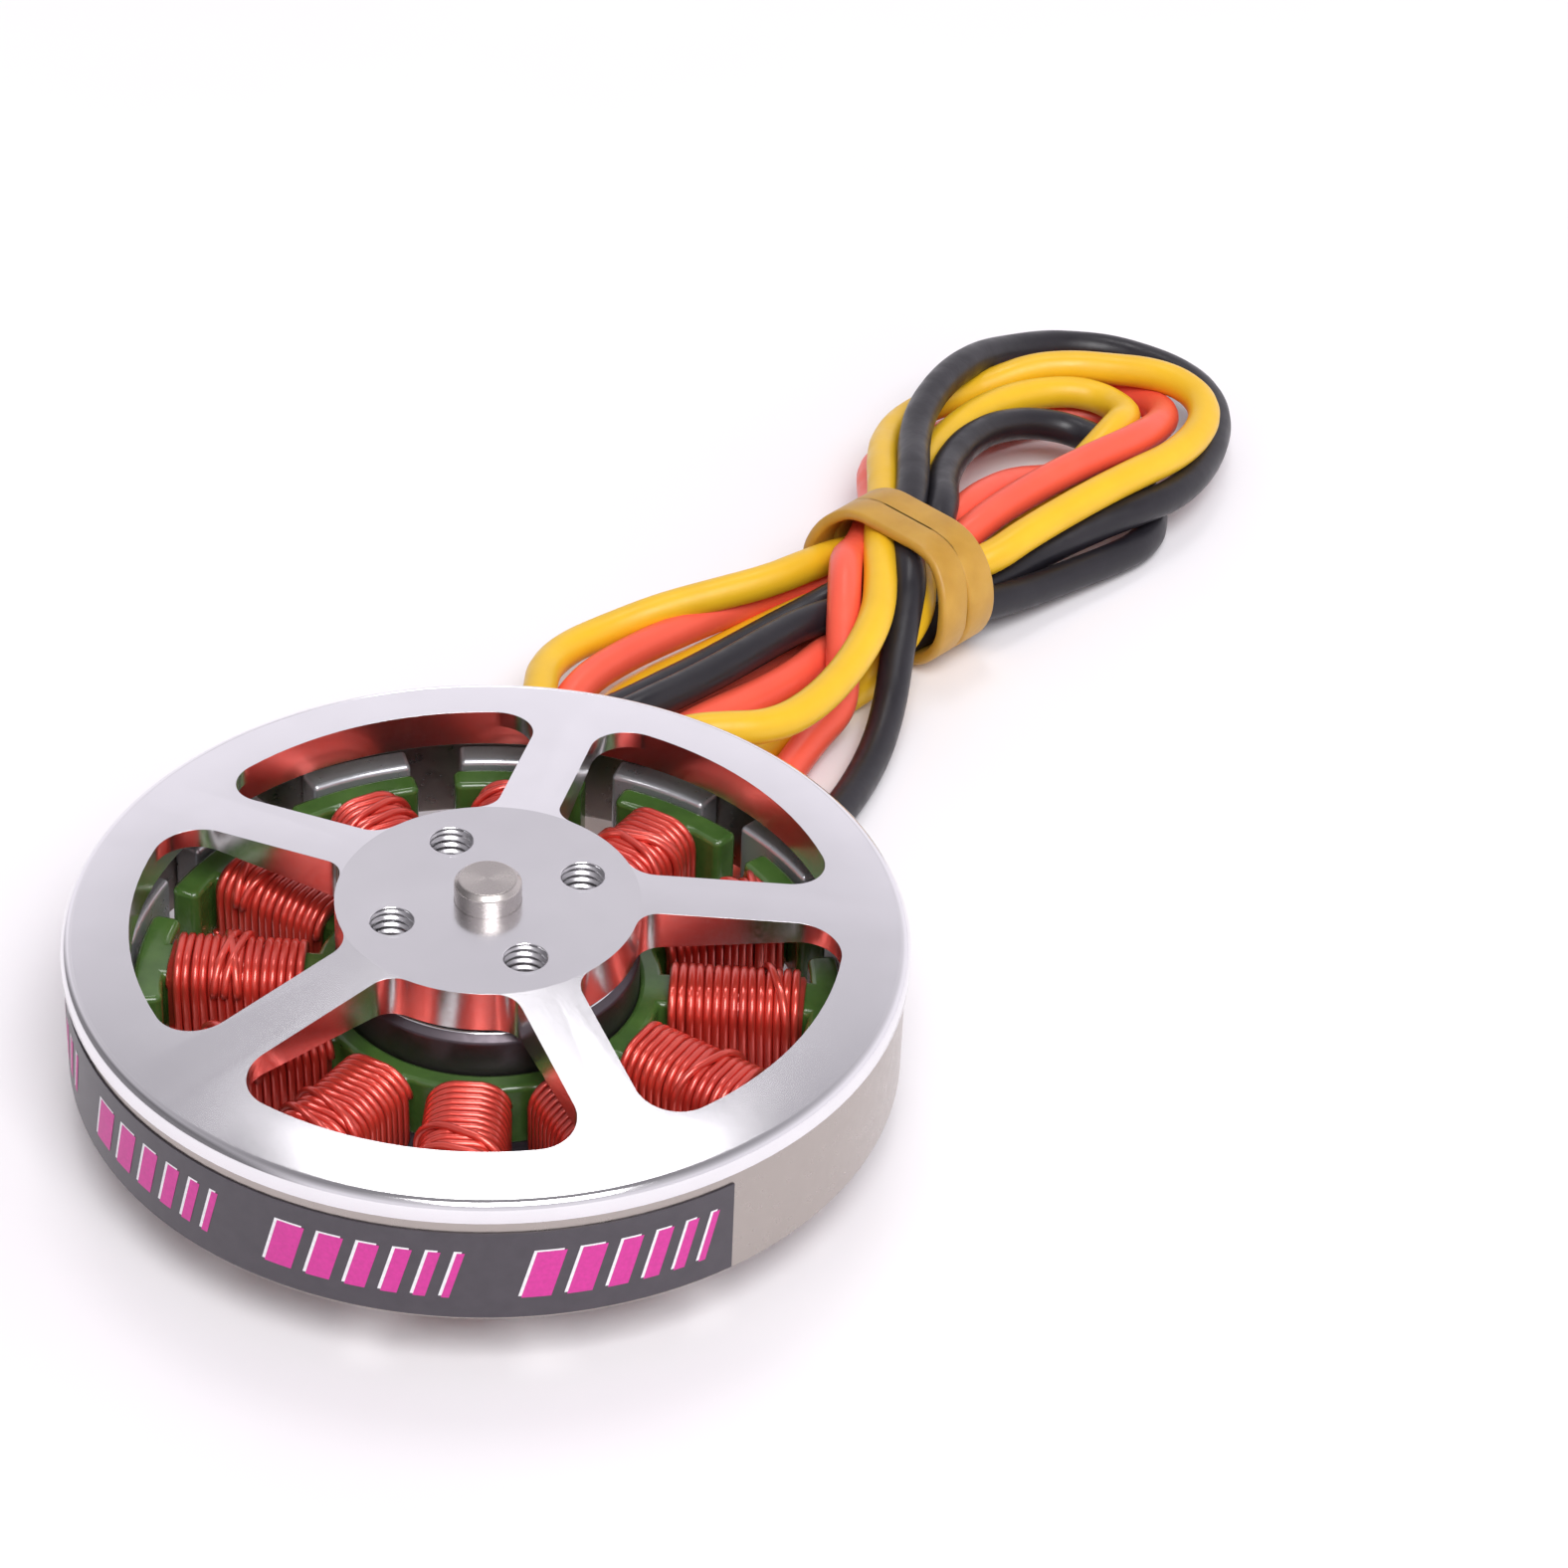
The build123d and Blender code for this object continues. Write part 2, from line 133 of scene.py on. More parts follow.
def two_colors(material, value, first, second, start=0.3, end=0.7):
    """A ramp from the first colour to the second over the value's stretch from start to end."""
    ramp = add_node(material, "ShaderNodeValToRGB")
    ramp.color_ramp.elements[0].position = start
    ramp.color_ramp.elements[0].color = (*first, 1)
    ramp.color_ramp.elements[1].position = end
    ramp.color_ramp.elements[1].color = (*second, 1)
    join(material, value, ramp.inputs["Fac"])
    return ramp.outputs["Color"]


def add_bump(material, shader, height, depth, strength=1.0):
    """Bump from a height of 0 to 1 that stands for the given depth in metres."""
    bump = add_node(material, "ShaderNodeBump", Strength=strength, Distance=depth)
    join(material, height, bump.inputs["Height"])
    join(material, bump.outputs["Normal"], shader.inputs["Normal"])


def wear(obj, material):
    """Puts one finish on the whole object."""
    if obj.material_slots:
        for slot in obj.material_slots:
            slot.material = material
    else:
        obj.data.materials.append(material)

# %% [markdown]
# ## Light and floor
# Small shiny parts are photographed in a white tent, so that the metal has something pale to
# mirror on every side. The tent is lightest near its back wall, greyer higher up, and dim where
# the camera looks in: that is what gives flat, coned and rounded metal their different tones.
# The left wall is darkest, and draws a dark line in the rim's round edge. One soft lamp at the
# back shines off the front of the cap, and a large one at the front fills the windows.


# %% Tent
scene.view_settings.view_transform = "Standard"
TENT_TONES = ((0.0, 1.0), (0.36, 0.97), (0.62, 0.66), (0.76, 0.48), (0.93, 0.28))
TENT_TINT = (0.99, 0.95, 1.02)
TENT_STRENGTH = 1.0
OPEN_SIDE, OPEN_SIDE_EDGES = 0.85, (-0.55, 0.15)
LEFT_WALL, LEFT_WALL_EDGES = 0.25, (-0.80, -0.60)

tent = bpy.data.worlds.new("tent")
tent.use_nodes = True
scene.world = tent
direction = add_node(tent, "ShaderNodeTexCoord")
apart = add_node(tent, "ShaderNodeSeparateXYZ")
join(tent, direction.outputs["Generated"], apart.inputs["Vector"])
height = add_node(tent, "ShaderNodeValToRGB")
while len(height.color_ramp.elements) < len(TENT_TONES):
    height.color_ramp.elements.new(0.5)
for element, (position, tone) in zip(height.color_ramp.elements, TENT_TONES):
    element.position = position
    element.color = (*[tone * tint for tint in TENT_TINT], 1)
join(tent, apart.outputs["Z"], height.inputs["Fac"])
open_side = to_range(tent, apart.outputs["Y"], OPEN_SIDE, 1.0, *OPEN_SIDE_EDGES)
backdrop = tent.node_tree.nodes["Background"]
join(tent, height.outputs["Color"], backdrop.inputs["Color"])
left_wall = to_range(tent, apart.outputs["X"], LEFT_WALL, TENT_STRENGTH, *LEFT_WALL_EDGES)
dim = add_node(tent, "ShaderNodeMath", operation="MULTIPLY")
join(tent, open_side, dim.inputs[0])
join(tent, left_wall, dim.inputs[1])
join(tent, dim.outputs["Value"], backdrop.inputs["Strength"])


# %% Lamps and floor
def lamp(name, place, aim, size, power, color):
    """A square soft lamp of the given size in metres that stands at place and faces aim."""
    data = bpy.data.lights.new(name, "AREA")
    data.shape = "SQUARE"
    data.size = size
    data.energy = power
    data.color = color
    made = bpy.data.objects.new(name, data)
    made.matrix_world = Matrix.Translation(place) @ (
        (Vector(aim) - Vector(place)).to_track_quat("-Z", "Y").to_matrix().to_4x4()
    )
    scene.collection.objects.link(made)


def new_mesh(name, points, faces):
    """A mesh object whose points and faces come as whole arrays, put at the origin."""
    mesh = bpy.data.meshes.new(name)
    mesh.from_pydata(np.asarray(points, float).reshape(-1, 3).tolist(), [], np.asarray(faces).tolist())
    mesh.update()
    made = bpy.data.objects.new(name, mesh)
    scene.collection.objects.link(made)
    return made


lamp("back_lamp", (-0.02, 0.58, 1.28), (0.0, 0.0, 0.0), 0.42, 2.6, (1.0, 0.985, 0.99))
lamp("front_lamp", (0.25, -0.85, 1.35), (0.0, 0.02, 0.0), 0.9, 21.0, (1.0, 0.99, 1.0))

FLOOR_HALF = 3.0
corners = FLOOR_HALF * np.array([(-1, -1, 0), (1, -1, 0), (1, 1, 0), (-1, 1, 0)])
floor = new_mesh("floor", corners, [(0, 1, 2, 3)])
paper, paper_shader = part_shader("white_paper", (0.90, 0.885, 0.90), 0.0, 0.55)
paper_colors = two_colors(paper, object_noise(paper, 30 * MM), (0.89, 0.875, 0.89), (0.91, 0.895, 0.91))
join(paper, paper_colors, paper_shader.inputs["Base Color"])
paper_shader.inputs["Specular IOR Level"].default_value = 0.2
wear(floor, paper)


# %% [markdown]
# ## Rounded edges
# A machined edge is never quite sharp: a hair of radius catches the light as a bright line. A
# solid's copy is merged, its flat facets are joined again, and a Bevel modifier rounds what is
# left of its edges.

# %% Rounding helper
MERGE_DISTANCE = 0.5e-6
FLAT_ANGLE = math.radians(0.4)
EDGE_ANGLE = math.radians(28.0)


def rounded(node, edge, body, material, segments=2):
    """A copy of a solid with its edges over EDGE_ANGLE rounded by edge metres, in its place."""
    piece = bpy.data.objects.new(node + "_rounded", nodes[node].data.copy())
    piece.data.materials.clear()
    scene.collection.objects.link(piece)
    shape = bmesh.new()
    shape.from_mesh(piece.data)
    bmesh.ops.remove_doubles(shape, verts=shape.verts, dist=MERGE_DISTANCE)
    bmesh.ops.dissolve_limit(
        shape, angle_limit=FLAT_ANGLE, verts=shape.verts, edges=shape.edges, delimit=set()
    )
    for face in shape.faces:
        face.smooth = True
    for side in shape.edges:
        side.smooth = not (len(side.link_faces) == 2 and side.calc_face_angle(0) > EDGE_ANGLE)
    shape.to_mesh(piece.data)
    shape.free()
    bevel = piece.modifiers.new("edges", "BEVEL")
    bevel.width = edge
    bevel.segments = segments
    bevel.limit_method = "ANGLE"
    bevel.angle_limit = EDGE_ANGLE
    bevel.harden_normals = False
    bevel.use_clamp_overlap = True
    wear(piece, material)
    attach(piece, body)
    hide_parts(node)
    return piece


# %% [markdown]
# ## Leads
# The three leads are fine-stranded copper in soft silicone, 2.3 mm thick and 0.27 to 0.285 m long.
# Each runs out of its sleeve under the ring, and its length is folded to and fro through one
# rubber band: the loops on the far side are wide, the ones beside the ring are low and long.
# A free lead is one smooth spline, and its points are listed where the strand should be.

# %% Lead routes, millimetres
LEAD_ROUTES = {
    "yellow": [
        (7.7, 17.5, 1.6), (12.1, 24.3, 1.6), (13.4, 31.3, 1.2), (18.0, 37.9, 1.3), (21.2, 41.6, 1.2),
        (22.5, 42.9, 1.5), (23.4, 44.1, 2.5), (24.7, 45.4, 3.5), (25.7, 47.4, 4.6), (25.5, 51.4, 5.2),
        (24.7, 57.1, 5.5), (25.2, 62.7, 5.0), (26.5, 67.2, 4.5), (28.1, 70.5, 4.3), (29.8, 72.8, 4.3),
        (31.8, 74.6, 4.3), (34.1, 75.9, 4.2), (36.5, 76.5, 4.1), (38.4, 76.2, 3.9), (39.7, 74.8, 4.0),
        (40.3, 72.5, 4.7), (39.5, 70.0, 5.4), (37.4, 67.1, 4.4), (34.8, 64.0, 2.9), (31.0, 61.4, 2.3),
        (26.3, 59.1, 2.9), (22.5, 56.0, 3.5), (19.9, 53.0, 4.7), (17.9, 50.5, 5.4), (15.4, 48.6, 5.3),
        (11.9, 47.1, 5.0), (8.3, 45.8, 4.5), (5.0, 44.1, 3.9), (2.3, 41.9, 3.8), (0.8, 38.8, 4.1),
        (0.8, 35.4, 4.5), (0.5, 32.3, 4.6), (1.2, 29.9, 4.7), (3.8, 28.6, 4.9), (7.6, 28.6, 5.7),
        (11.1, 29.3, 6.5), (13.4, 29.7, 6.5), (15.3, 30.2, 6.3), (17.2, 31.4, 6.2), (19.0, 33.5, 6.3),
        (20.6, 36.4, 6.4), (22.0, 39.8, 6.7), (22.8, 43.1, 7.0), (22.9, 46.3, 7.2), (22.8, 49.3, 7.3),
        (22.8, 52.4, 7.2), (23.0, 55.8, 6.8), (23.0, 59.8, 6.5), (22.9, 63.6, 5.9), (23.1, 66.9, 5.1),
        (23.9, 69.8, 4.7), (25.2, 72.3, 4.3), (26.8, 74.3, 4.0), (28.8, 76.0, 3.7), (31.2, 77.3, 4.2),
        (33.7, 78.4, 4.7), (36.5, 78.7, 4.9), (39.2, 78.5, 4.9), (42.0, 77.9, 5.1), (44.2, 76.7, 5.1),
        (45.6, 74.8, 5.0), (45.9, 72.3, 5.0), (45.0, 69.4, 5.0), (43.1, 66.5, 5.1), (40.6, 63.7, 5.5),
        (37.8, 60.8, 5.6), (35.1, 58.0, 5.5), (32.6, 55.4, 5.3), (30.4, 53.3, 4.7), (26.8, 52.0, 4.0),
        (22.2, 50.8, 3.5), (17.9, 49.0, 2.7), (14.1, 46.9, 1.7), (10.7, 44.4, 1.2), (7.8, 41.8, 1.2),
        (5.5, 39.0, 1.2), (4.8, 36.2, 1.2), (4.8, 33.6, 1.2),
    ],
    "red": [
        (10.3, 15.9, 1.6), (14.7, 22.6, 1.6), (16.6, 30.9, 1.2), (18.9, 35.7, 1.9), (20.2, 37.5, 2.4),
        (20.6, 38.6, 3.1), (20.6, 40.0, 4.2), (20.5, 42.0, 5.5), (20.5, 44.6, 6.9), (20.5, 47.3, 7.4),
        (20.6, 49.4, 7.0), (21.2, 51.2, 6.2), (21.9, 54.4, 5.6), (22.5, 59.8, 4.6), (22.2, 64.8, 3.6),
        (22.8, 68.3, 2.6), (24.1, 71.0, 1.9), (26.7, 73.6, 1.2), (29.8, 76.6, 1.2), (33.6, 78.9, 1.5),
        (37.6, 79.7, 2.1), (40.9, 78.9, 2.6), (42.7, 76.5, 3.1), (43.1, 73.5, 4.1), (42.3, 70.3, 5.2),
        (40.5, 67.5, 5.8), (38.0, 65.2, 5.9), (35.2, 63.0, 5.6), (32.5, 60.5, 5.3), (30.4, 57.9, 5.3),
        (28.8, 55.8, 5.0), (26.5, 53.9, 4.0), (22.5, 52.6, 3.6), (18.3, 51.7, 3.0), (15.2, 49.9, 3.1),
        (11.9, 47.1, 3.3), (8.7, 44.1, 3.5), (5.9, 41.3, 3.6), (3.6, 38.6, 3.5), (2.3, 35.8, 3.0),
        (2.3, 33.0, 2.7), (4.2, 31.0, 2.5), (7.4, 30.9, 3.0), (10.2, 32.7, 3.9), (12.1, 34.6, 3.9),
        (14.0, 36.6, 3.6), (16.2, 38.6, 3.6), (18.0, 40.7, 3.6), (19.6, 43.5, 3.4), (22.1, 47.5, 2.6),
        (25.1, 52.5, 1.6), (26.6, 58.7, 1.2), (27.0, 64.8, 1.4), (27.5, 69.6, 1.9), (28.8, 72.6, 2.1),
        (30.6, 74.5, 2.1), (32.9, 75.9, 2.0), (35.4, 76.9, 1.9), (38.1, 77.0, 1.7), (40.6, 76.0, 1.6),
        (41.8, 74.3, 1.4), (41.0, 72.4, 1.2), (38.5, 70.4, 1.2), (35.3, 68.0, 1.9), (32.3, 65.0, 3.5),
        (30.2, 61.6, 4.7), (28.4, 58.7, 4.9), (25.9, 56.2, 3.7), (23.2, 53.4, 2.1), (20.8, 49.3, 1.4),
        (17.8, 45.5, 1.2), (14.3, 42.5, 1.2), (11.1, 39.8, 1.2), (8.7, 37.4, 1.2), (7.4, 35.4, 1.2),
        (7.3, 33.6, 1.2),
    ],
    "black": [
        (12.9, 14.2, 1.6), (17.3, 21.0, 1.6), (20.9, 28.7, 1.2), (22.9, 34.6, 1.2), (23.8, 39.0, 2.1),
        (24.2, 42.4, 4.1), (24.6, 44.9, 5.7), (24.9, 47.0, 6.8), (24.7, 49.2, 7.2), (24.5, 52.4, 7.5),
        (24.9, 56.2, 7.8), (25.0, 60.1, 7.6), (25.0, 63.8, 7.1), (25.4, 67.8, 6.9), (26.4, 71.6, 6.6),
        (28.0, 75.4, 6.2), (29.9, 78.9, 5.3), (32.3, 81.7, 4.2), (34.7, 83.5, 3.6), (37.2, 84.2, 3.2),
        (39.4, 84.1, 3.1), (41.7, 83.3, 3.0), (44.2, 81.7, 3.0), (46.2, 79.3, 2.9), (47.0, 76.0, 2.8),
        (46.6, 72.1, 2.8), (45.3, 68.1, 2.9), (43.5, 64.7, 3.3), (41.3, 62.4, 3.6), (38.8, 60.7, 3.5),
        (36.2, 59.0, 3.1), (33.6, 57.2, 2.6), (31.2, 54.9, 2.0), (27.6, 51.5, 2.2), (22.8, 47.8, 4.3),
        (18.3, 44.1, 5.4), (15.4, 40.7, 5.6), (13.0, 37.7, 5.8), (10.5, 35.0, 5.9), (8.4, 33.1, 5.9),
        (6.8, 31.7, 5.8), (5.4, 31.4, 5.3), (4.4, 32.1, 4.5), (4.4, 33.5, 3.9), (5.5, 34.8, 3.7),
        (6.8, 35.9, 3.7), (8.7, 37.9, 3.6), (10.7, 40.1, 3.4), (13.0, 42.5, 3.4), (15.7, 45.1, 3.6),
        (19.0, 47.6, 4.2), (23.0, 50.2, 5.4), (26.5, 53.0, 6.8), (27.1, 56.2, 7.2), (27.0, 59.5, 6.5),
        (27.4, 63.0, 5.9), (28.6, 66.7, 5.4), (30.4, 69.8, 4.8), (32.7, 71.8, 4.2), (35.1, 72.6, 3.6),
        (36.9, 72.3, 3.3), (38.5, 71.0, 3.3), (40.3, 69.1, 2.8), (41.7, 66.7, 1.8), (42.2, 63.9, 1.2),
        (41.3, 61.2, 1.2), (39.1, 58.9, 1.4), (36.3, 56.5, 1.6), (33.6, 54.0, 1.9), (31.1, 51.6, 2.5),
        (28.2, 49.6, 2.8), (24.8, 47.5, 1.9), (21.0, 44.6, 1.2), (16.8, 41.5, 1.3), (13.1, 38.6, 1.4),
        (10.6, 36.0, 1.2), (9.8, 33.2, 1.2),
    ],
}
LEAD_DIAMETER = 2.3 * MM


# %% Silicone
def silicone(name, color, shade):
    """Soft extruded rubber: satin, with faint smears of handling dust."""
    material, shader = part_shader(name, color, 0.0, 0.38)
    smear = object_noise(material, 4 * MM)
    join(material, two_colors(material, smear, color, shade), shader.inputs["Base Color"])
    dust = to_range(material, object_noise(material, 1.5 * MM), 0.3, 0.48)
    join(material, dust, shader.inputs["Roughness"])
    shader.inputs["Specular IOR Level"].default_value = 0.45
    add_bump(material, shader, object_noise(material, 0.5 * MM), 0.02 * MM, 0.5)
    return material


LEAD_COLORS = {
    "yellow": ((0.86, 0.52, 0.018), (0.80, 0.47, 0.016)),
    "red": ((0.95, 0.125, 0.070), (0.90, 0.110, 0.062)),
    "black": ((0.012, 0.011, 0.015), (0.018, 0.016, 0.021)),
}


# %% Lay the leads
def lay_lead(color):
    """One open spline through the hank, as thick as the insulation."""
    points = np.array(LEAD_ROUTES[color]) * MM
    curve = bpy.data.curves.new("lead_" + color + "_line", "CURVE")
    curve.dimensions = "3D"
    curve.resolution_u = 12
    curve.bevel_depth = LEAD_DIAMETER / 2
    curve.bevel_resolution = 6
    curve.use_fill_caps = True
    spline = curve.splines.new("NURBS")
    spline.points.add(len(points) - 1)
    spline.points.foreach_set("co", np.column_stack([points, np.ones(len(points))]).ravel())
    spline.order_u = 3
    spline.use_endpoint_u = True
    lead = bpy.data.objects.new("silicone_lead_" + color, curve)
    scene.collection.objects.link(lead)
    wear(lead, silicone("silicone_" + color, *LEAD_COLORS[color]))
    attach(lead, "stator")
    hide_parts("lead_" + color, *(["lead_hank"] if color == "black" else []))
    return lead


leads = {color: lay_lead(color) for color in LEAD_ROUTES}
print("leads laid:", {color: len(LEAD_ROUTES[color]) for color in leads})

# %% [markdown]
# ## Shapes worked out with numpy
# A tube is a circle carried along a path, and a ribbon a section carried round an oval. Both are
# grids of points: one array for the whole surface, and the faces join each row to the next.

# %% Surface helpers
SHARP_ANGLE = math.radians(35)


def grid_faces(rows, columns, close_rows=False, close_columns=True):
    """Four-cornered faces of a grid: row i, column j is joined to the next row and column."""
    i = np.arange(rows if close_rows else rows - 1)[:, None]
    j = np.arange(columns if close_columns else columns - 1)[None]
    here, next_i, next_j = i * columns, (i + 1) % rows * columns, (j + 1) % columns
    return np.stack([here + j, here + next_j, next_i + next_j, next_i + j], -1).reshape(-1, 4)


def unit(vectors):
    """Vectors of length one."""
    return vectors / np.maximum(np.linalg.norm(vectors, axis=-1, keepdims=True), 1e-12)


def smooth(mesh):
    """Shades every face of the mesh smoothly."""
    mesh.polygons.foreach_set("use_smooth", np.ones(len(mesh.polygons), bool))


def points_of(mesh):
    """The mesh's points, one row each."""
    place = np.empty(len(mesh.vertices) * 3)
    mesh.vertices.foreach_get("co", place)
    return place.reshape(-1, 3)


def grids_object(name, grids, faces):
    """One object of several grids of the same shape: the first one's faces, repeated."""
    step = grids[0].size // 3
    faces = np.concatenate([faces + k * step for k in range(len(grids))])
    return new_mesh(name, np.stack(grids), faces)


def tube_grid(path, radius, sides, steady):
    """A tube: each row is a circle square to the path, turned by the steady direction.
    Point = path + radius (cos a · side + sin a · other), with side = steady x tangent."""
    tangent = unit(np.gradient(path, axis=0))
    side = unit(np.cross(steady, tangent))
    other = np.cross(tangent, side)
    angle = np.arange(sides) * 2 * np.pi / sides
    ring = np.cos(angle)[None, :, None] * side[:, None] + np.sin(angle)[None, :, None] * other[:, None]
    radius = np.broadcast_to(radius, len(path))[:, None, None]
    return path[:, None] + radius * ring


def tubes_object(name, paths, radius, sides, steady, core):
    """Several tubes in one mesh, each closed at both ends with its last ring as a face, and
    a core: rows of section points that close on themselves."""
    points = [core.reshape(-1, 3)]
    faces = grid_faces(*core.shape[:2], close_rows=True).tolist()
    start = len(points[0])
    for path in paths:
        grid = tube_grid(path, radius, sides, steady).reshape(-1, 3)
        points.append(grid)
        faces += (grid_faces(len(path), sides) + start).tolist()
        faces.append([start + k for k in range(sides)][::-1])
        faces.append([start + len(grid) - sides + k for k in range(sides)])
        start += len(grid)
    made = bpy.data.meshes.new(name)
    made.from_pydata(np.concatenate(points).tolist(), [], faces)
    smooth(made)
    made.update()
    piece = bpy.data.objects.new(name, made)
    scene.collection.objects.link(piece)
    return piece


def turned(points, degrees):
    """Points turned about the motor axis."""
    a = math.radians(degrees)
    turn = np.array([[math.cos(a), -math.sin(a), 0], [math.sin(a), math.cos(a), 0], [0, 0, 1]])
    return points @ turn.T


def oval(half_width, half_height, corner, count):
    """A rounded rectangle, as points of equal turn: a corner's centre plus its radius."""
    angle = (np.arange(count) + 0.5) * 2 * np.pi / count
    x = np.sign(np.cos(angle)) * (half_width - corner) + corner * np.cos(angle)
    z = np.sign(np.sin(angle)) * (half_height - corner) + corner * np.sin(angle)
    return np.column_stack([x, z])


def lathe(name, profile, around=360):
    """A closed profile of (radius, height), clockwise with the radius to the right, carried
    round the motor axis: point = (radius cos a, radius sin a, height)."""
    angle = (np.arange(around) * 2 * np.pi / around)[:, None]
    radius, height = np.array(profile).T
    height = np.broadcast_to(height, (around, len(height)))
    grid = np.stack([radius * np.cos(angle), radius * np.sin(angle), height], -1)
    made = new_mesh(name, grid, grid_faces(around, len(profile), close_rows=True))
    smooth(made.data)
    made.data.set_sharp_from_angle(angle=SHARP_ANGLE)
    return made


def outward_volume(mesh):
    """Signed volume of a closed mesh, above 0 when its faces point outwards."""
    shape = bmesh.new()
    shape.from_mesh(mesh)
    volume = shape.calc_volume(signed=True)
    shape.free()
    return volume


print("a tube of 10 rows and 8 sides has", len(grid_faces(10, 8)), "faces")

# %% [markdown]
# ## Metals
# Nickel, steel and bare aluminium differ mostly in tint and in how blurred their mirror is. The
# cap is faced on a lathe, so its gloss is drawn out along circles about the axis.


# %% Metal finishes
def metal(name, color, roughness, spread=0.05, grain=1.2 * MM, bump=0.0, circles=0.0):
    """Metal whose roughness wanders by the spread, with an optional lathe sheen of circles."""
    material, shader = part_shader(name, color, 1.0, roughness)
    cloud = object_noise(material, grain)
    rough = to_range(material, cloud, roughness - spread, roughness + spread)
    join(material, rough, shader.inputs["Roughness"])
    shade = tuple(c * 0.97 for c in color)
    wide = object_noise(material, 3 * MM, detail=4.0)
    join(material, two_colors(material, wide, shade, color), shader.inputs["Base Color"])
    if bump:
        add_bump(material, shader, object_noise(material, 0.35 * MM), bump, 0.6)
    if circles:
        shader.inputs["Anisotropic"].default_value = circles
        tangent = add_node(material, "ShaderNodeTangent", direction_type="RADIAL", axis="Z")
        join(material, tangent.outputs["Tangent"], shader.inputs["Tangent"])
    return material


aluminium = metal("satin_aluminium", (0.86, 0.85, 0.875), 0.20, 0.02, grain=0.16 * MM, circles=0.3)
polished = metal("cut_aluminium", (0.88, 0.87, 0.89), 0.13, 0.01, circles=0.3)
milled = metal("milled_aluminium", (0.86, 0.83, 0.83), 0.21, 0.03, grain=0.3 * MM)
nickel_ring = metal("nickel_plate", (0.45, 0.405, 0.375), 0.30, 0.04, grain=0.8 * MM, bump=0.0008 * MM)
magnet_finish = metal("magnet_nickel", (0.66, 0.67, 0.70), 0.30, 0.03, grain=0.6 * MM)
magnet_finish.node_tree.nodes["Principled BSDF"].inputs["Metallic"].default_value = 0.75
ground_steel = metal("ground_steel", (0.57, 0.53, 0.505), 0.27, 0.015, grain=0.6 * MM, circles=0.5)
spring_steel = metal("spring_steel", (0.30, 0.29, 0.28), 0.35)
bearing_steel = metal("bearing_steel", (0.66, 0.66, 0.67), 0.18)
tinned = metal("tinned_copper", (0.70, 0.69, 0.67), 0.32, bump=0.01 * MM)

# %% Cap, with room for the threads
HUB_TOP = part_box("bell_cap")[1].z
HUB_SCREW_PLACE = 6.0 * MM
HUB_SCREW_TURN = 25.4
HUB_SCREWS = 4
HOLE_RADIUS = 1.25 * MM
THREAD_RADIUS = 1.5 * MM
THREAD_PITCH = 0.5 * MM
HUB_FACE_RADIUS = 9.0 * MM
WINDOWS_WITHIN = 22.1 * MM
ON_EDGE = 0.02 * MM
UPRIGHT = 0.3

hole_angles = np.radians(HUB_SCREW_TURN + 90.0 * np.arange(HUB_SCREWS))
hole_centers = HUB_SCREW_PLACE * np.column_stack([np.cos(hole_angles), np.sin(hole_angles)])

cap = rounded("bell_cap", 0.12 * MM, "rotor", aluminium)
place = points_of(cap.data)
for center in hole_centers:
    away = place[:, :2] - center
    distance = np.linalg.norm(away, axis=1)
    near = distance < HOLE_RADIUS * 1.04
    place[near, :2] = center + away[near] * (THREAD_RADIUS / distance[near])[:, None]
cap.data.vertices.foreach_set("co", place.ravel())
cap.data.update()

# the flat hub meets the coned face in a crisp line
ends = np.empty(len(cap.data.edges) * 2, np.int32)
cap.data.edges.foreach_get("vertices", ends)
on_hub = np.abs(np.hypot(place[:, 0], place[:, 1]) - HUB_FACE_RADIUS) < ON_EDGE
on_hub &= place[:, 2] > HUB_TOP - ON_EDGE
on_hub_edge = on_hub[ends].reshape(-1, 2).all(axis=1)
crisp = np.empty(len(cap.data.edges), bool)
cap.data.edges.foreach_get("use_edge_sharp", crisp)
cap.data.edges.foreach_set("use_edge_sharp", crisp | on_hub_edge)
print("crisp hub edges:", int(on_hub_edge.sum()))

# the windows are milled, so their walls mirror what is inside more sharply than the turned face
cap.data.materials.append(milled)
facing = np.empty(len(cap.data.polygons) * 3)
cap.data.polygons.foreach_get("normal", facing)
middle = np.empty(len(cap.data.polygons) * 3)
cap.data.polygons.foreach_get("center", middle)
middle = middle.reshape(-1, 3)
upright = np.abs(facing.reshape(-1, 3)[:, 2]) < UPRIGHT
inside = np.hypot(middle[:, 0], middle[:, 1]) < WINDOWS_WITHIN
cap.data.polygons.foreach_set("material_index", (upright & inside).astype(np.int32))
print("cap points:", len(place), "hub top at", round(HUB_TOP / MM, 2), "mm")


# %% Screw threads in the hub
def thread_grid(center, bottom, top, around=48, per_turn=10):
    """An inner thread: the radius swings between core and outside as a ridge climbs one pitch
    a turn, r = core + depth · |2 frac(z / pitch - a / 2 pi) - 1| to the power 1.3. Two more
    rows close it at its back, inside the cap."""
    rows = int((top - bottom) / THREAD_PITCH * per_turn) + 1
    z = np.linspace(bottom, top, rows)[:, None]
    a = (np.arange(around) * 2 * np.pi / around)[None]
    climb = z / THREAD_PITCH - a / (2 * np.pi)
    ridge = np.abs(2 * (climb - np.floor(climb)) - 1)
    depth = THREAD_RADIUS - HOLE_RADIUS
    radius = HOLE_RADIUS + depth * ridge**1.3
    back = np.full((2, around), THREAD_RADIUS + 0.04 * MM)
    radius = np.concatenate([radius, back])
    z = np.concatenate([z, [[top], [bottom]]])
    x, y = center[0] + radius * np.cos(a), center[1] + radius * np.sin(a)
    return np.stack([x, y, np.broadcast_to(z, x.shape)], -1)


